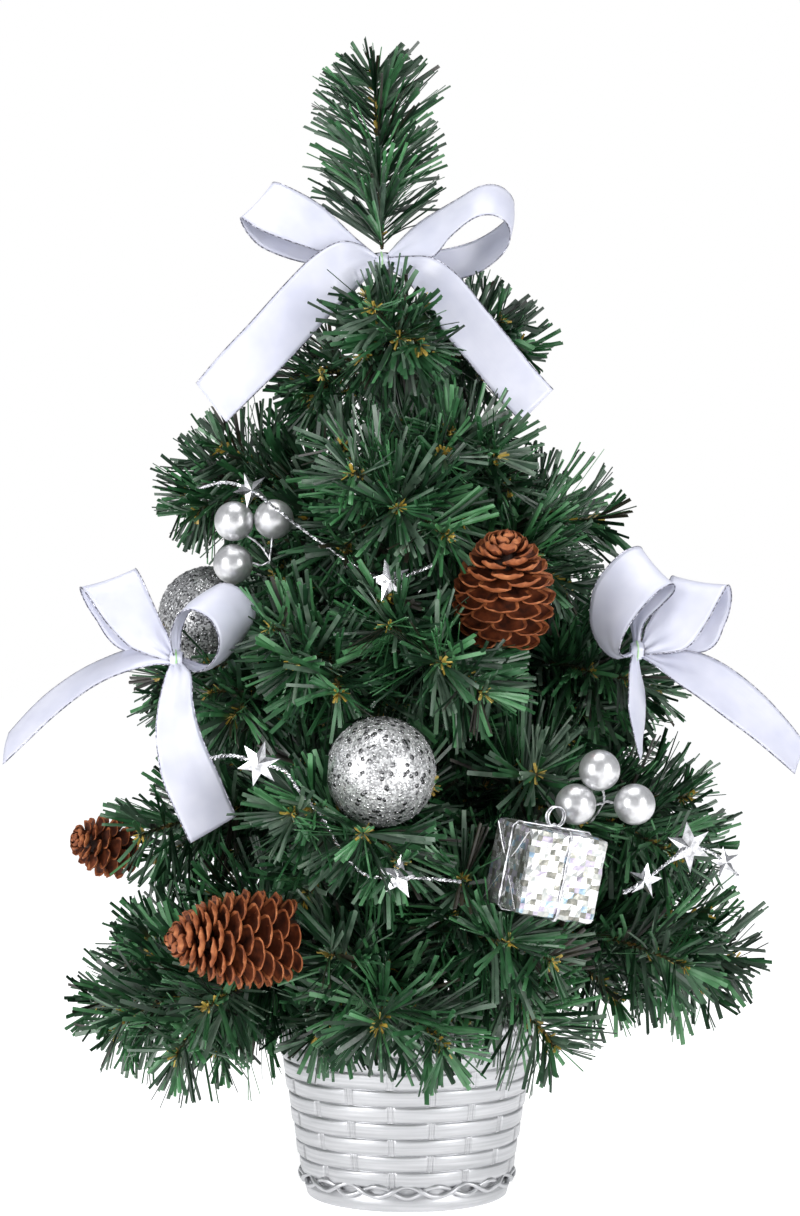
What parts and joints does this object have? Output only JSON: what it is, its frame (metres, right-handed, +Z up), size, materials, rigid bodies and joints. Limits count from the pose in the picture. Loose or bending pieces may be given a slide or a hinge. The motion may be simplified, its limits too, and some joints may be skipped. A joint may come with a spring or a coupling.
{
  "type": "tabletop tree",
  "caption": "Small artificial tree in a silver basket-weave pot, with bendable twisted-wire branches, satin bows, glitter balls, pine cones, berries, a gift box and a star garland.",
  "frame": {"origin": "centre of the pot's underside", "axes": "+Z up the tree, -Y towards the decorated front, +X to the right seen from the front"},
  "size_m": [0.2951, 0.2578, 0.4457],
  "materials": {
    "pot_silver": "satin",
    "cement": "matte",
    "green_tape": "matte",
    "pvc_needles": "satin",
    "satin_ribbon": "satin",
    "tie_wire": "satin",
    "glitter": "gloss",
    "pine_cone": "matte",
    "satin_berry": "satin",
    "holographic_foil": "gloss",
    "silver_cord": "satin",
    "tinsel_wire": "polished"
  },
  "bodies": {
    "base": {"pot": "pot_silver", "pot_filler": "cement", "tier_1_binding": "green_tape", "tier_2_binding": "green_tape", "tier_3_binding": "green_tape", "tier_4_binding": "green_tape", "tier_5_binding": "green_tape", "top_bow": "satin_ribbon", "top_bow_tie": "tie_wire", "trunk": "green_tape"},
    "top_tip": {"top_tip": "pvc_needles"},
    "tier_1_front": {"tier_1_front_branch": "pvc_needles"},
    "tier_1_front_right": {"tier_1_front_right_branch": "pvc_needles"},
    "tier_1_right": {"tier_1_right_branch": "pvc_needles"},
    "tier_1_back": {"tier_1_back_branch": "pvc_needles"},
    "tier_1_left": {"tier_1_left_branch": "pvc_needles"},
    "tier_1_front_left": {"lower_left_cone": "pine_cone", "tier_1_front_left_branch": "pvc_needles"},
    "tier_2_front": {"front_ball": "glitter", "middle_garland_strand": "tinsel_wire", "tier_2_front_branch": "pvc_needles"},
    "tier_2_front_right": {"gift_box": "holographic_foil", "gift_cord": "silver_cord", "lower_berry_1": "satin_berry", "lower_berry_2": "satin_berry", "lower_berry_3": "satin_berry", "lower_berry_stems": "tinsel_wire", "tier_2_front_right_branch": "pvc_needles"},
    "tier_2_right": {"right_garland_strand": "tinsel_wire", "tier_2_right_branch": "pvc_needles"},
    "tier_2_back": {"tier_2_back_branch": "pvc_needles"},
    "tier_2_left": {"small_left_cone": "pine_cone", "tier_2_left_branch": "pvc_needles"},
    "tier_3_front_left": {"tier_3_front_left_branch": "pvc_needles"},
    "tier_3_front_right": {"tier_3_front_right_branch": "pvc_needles"},
    "tier_3_right": {"right_bow": "satin_ribbon", "right_bow_tie": "tie_wire", "tier_3_right_branch": "pvc_needles"},
    "tier_3_back": {"tier_3_back_branch": "pvc_needles"},
    "tier_3_left": {"left_ball": "glitter", "tier_3_left_branch": "pvc_needles"},
    "tier_3_left_front": {"left_bow": "satin_ribbon", "left_bow_tie": "tie_wire", "tier_3_left_front_branch": "pvc_needles"},
    "tier_4_front": {"tier_4_front_branch": "pvc_needles", "upper_garland_strand": "tinsel_wire"},
    "tier_4_front_right": {"tier_4_front_right_branch": "pvc_needles"},
    "tier_4_right": {"tier_4_right_branch": "pvc_needles", "upper_right_cone": "pine_cone"},
    "tier_4_back": {"tier_4_back_branch": "pvc_needles"},
    "tier_4_left": {"tier_4_left_branch": "pvc_needles"},
    "tier_4_front_left": {"tier_4_front_left_branch": "pvc_needles", "upper_berry_1": "satin_berry", "upper_berry_2": "satin_berry", "upper_berry_3": "satin_berry", "upper_berry_stems": "tinsel_wire"},
    "tier_5_front": {"tier_5_front_branch": "pvc_needles"},
    "tier_5_right": {"tier_5_right_branch": "pvc_needles"},
    "tier_5_back": {"tier_5_back_branch": "pvc_needles"},
    "tier_5_left": {"tier_5_left_branch": "pvc_needles"}
  },
  "joints": [
    {"name": "top_tip_bend", "type": "hinge", "parent": "base", "child": "top_tip", "pos_m": [-0.0097, 0, 0.3666], "axis": [0, 1, 0], "range_deg": [-15, 15]},
    {"name": "tier_1_front_bend", "type": "hinge", "parent": "base", "child": "tier_1_front", "pos_m": [-0.0032, -0.00717, 0.104], "axis": [-0.9962, 0.0872, 0], "range_deg": [-15, 15]},
    {"name": "tier_1_front_right_bend", "type": "hinge", "parent": "base", "child": "tier_1_front_right", "pos_m": [-0.0004, -0.00687, 0.104], "axis": [-0.9537, -0.3007, 0], "range_deg": [-15, 2]},
    {"name": "tier_1_right_bend", "type": "hinge", "parent": "base", "child": "tier_1_right", "pos_m": [0.00463, 0, 0.104], "axis": [0, -1, 0], "range_deg": [-15, 15]},
    {"name": "tier_1_back_bend", "type": "hinge", "parent": "base", "child": "tier_1_back", "pos_m": [-0.00232, 0.0072, 0.104], "axis": [0.9994, -0.0349, 0], "range_deg": [-15, 15]},
    {"name": "tier_1_left_bend", "type": "hinge", "parent": "base", "child": "tier_1_left", "pos_m": [-0.00977, 0, 0.104], "axis": [0, 1, 0], "range_deg": [-15, 15]},
    {"name": "tier_1_front_left_bend", "type": "hinge", "parent": "base", "child": "tier_1_front_left", "pos_m": [-0.0071, -0.0056, 0.104], "axis": [-0.7771, 0.6293, 0], "range_deg": [-15, 12]},
    {"name": "tier_2_front_bend", "type": "hinge", "parent": "base", "child": "tier_2_front", "pos_m": [-0.00495, -0.00715, 0.159], "axis": [-0.9925, 0.1219, 0], "range_deg": [-13, 14]},
    {"name": "tier_2_front_right_bend", "type": "hinge", "parent": "base", "child": "tier_2_front_right", "pos_m": [0.00084, -0.00527, 0.159], "axis": [-0.7314, -0.682, 0], "range_deg": [-2, 15]},
    {"name": "tier_2_right_bend", "type": "hinge", "parent": "base", "child": "tier_2_right", "pos_m": [0.00312, 0.00025, 0.159], "axis": [0.0349, -0.9994, 0], "range_deg": [-12, 12]},
    {"name": "tier_2_back_bend", "type": "hinge", "parent": "base", "child": "tier_2_back", "pos_m": [-0.00221, 0.00696, 0.159], "axis": [0.9659, -0.2588, 0], "range_deg": [-15, 15]},
    {"name": "tier_2_left_bend", "type": "hinge", "parent": "base", "child": "tier_2_left", "pos_m": [-0.01106, -0.00174, 0.159], "axis": [-0.2419, 0.9703, 0], "range_deg": [-15, 15]},
    {"name": "tier_3_front_left_bend", "type": "hinge", "parent": "base", "child": "tier_3_front_left", "pos_m": [-0.0085, -0.00658, 0.214], "axis": [-0.9135, 0.4067, 0], "range_deg": [-15, 15]},
    {"name": "tier_3_front_right_bend", "type": "hinge", "parent": "base", "child": "tier_3_front_right", "pos_m": [-0.0047, -0.00715, 0.214], "axis": [-0.9925, -0.1219, 0], "range_deg": [-15, 15]},
    {"name": "tier_3_right_bend", "type": "hinge", "parent": "base", "child": "tier_3_right", "pos_m": [0.00105, -0.00281, 0.214], "axis": [-0.3907, -0.9205, 0], "range_deg": [-15, 8]},
    {"name": "tier_3_back_bend", "type": "hinge", "parent": "base", "child": "tier_3_back", "pos_m": [-0.00432, 0.00709, 0.214], "axis": [0.9848, -0.1736, 0], "range_deg": [-15, 15]},
    {"name": "tier_3_left_bend", "type": "hinge", "parent": "base", "child": "tier_3_left", "pos_m": [-0.01262, -0.0015, 0.214], "axis": [-0.2079, 0.9781, 0], "range_deg": [-15, 15]},
    {"name": "tier_3_left_front_bend", "type": "hinge", "parent": "base", "child": "tier_3_left_front", "pos_m": [-0.01132, -0.00433, 0.214], "axis": [-0.6018, 0.7986, 0], "range_deg": [-15, 15]},
    {"name": "tier_4_front_bend", "type": "hinge", "parent": "base", "child": "tier_4_front", "pos_m": [-0.00733, -0.0072, 0.269], "axis": [-0.9994, 0.0349, 0], "range_deg": [-9, 15]},
    {"name": "tier_4_front_right_bend", "type": "hinge", "parent": "base", "child": "tier_4_front_right", "pos_m": [-0.00326, -0.00611, 0.269], "axis": [-0.848, -0.5299, 0], "range_deg": [-15, 15]},
    {"name": "tier_4_right_bend", "type": "hinge", "parent": "base", "child": "tier_4_right", "pos_m": [0.00012, 0.00025, 0.269], "axis": [0.0349, -0.9994, 0], "range_deg": [-6, 15]},
    {"name": "tier_4_back_bend", "type": "hinge", "parent": "base", "child": "tier_4_back", "pos_m": [-0.00658, 0.00718, 0.269], "axis": [0.9976, -0.0698, 0], "range_deg": [-15, 15]},
    {"name": "tier_4_left_bend", "type": "hinge", "parent": "base", "child": "tier_4_left", "pos_m": [-0.01428, 0, 0.269], "axis": [0, 1, 0], "range_deg": [-15, 15]},
    {"name": "tier_4_front_left_bend", "type": "hinge", "parent": "base", "child": "tier_4_front_left", "pos_m": [-0.01267, -0.00453, 0.269], "axis": [-0.6293, 0.7771, 0], "range_deg": [-15, 5]},
    {"name": "tier_5_front_bend", "type": "hinge", "parent": "base", "child": "tier_5_front", "pos_m": [-0.00883, -0.0072, 0.324], "axis": [-0.9994, 0.0349, 0], "range_deg": [-15, 15]},
    {"name": "tier_5_right_bend", "type": "hinge", "parent": "base", "child": "tier_5_right", "pos_m": [-0.00154, -0.0015, 0.324], "axis": [-0.2079, -0.9781, 0], "range_deg": [-15, 15]},
    {"name": "tier_5_back_bend", "type": "hinge", "parent": "base", "child": "tier_5_back", "pos_m": [-0.00833, 0.0072, 0.324], "axis": [0.9994, -0.0349, 0], "range_deg": [-15, 15]},
    {"name": "tier_5_left_bend", "type": "hinge", "parent": "base", "child": "tier_5_left", "pos_m": [-0.01516, -0.00293, 0.324], "axis": [-0.4067, 0.9135, 0], "range_deg": [-15, 15]}
  ]
}
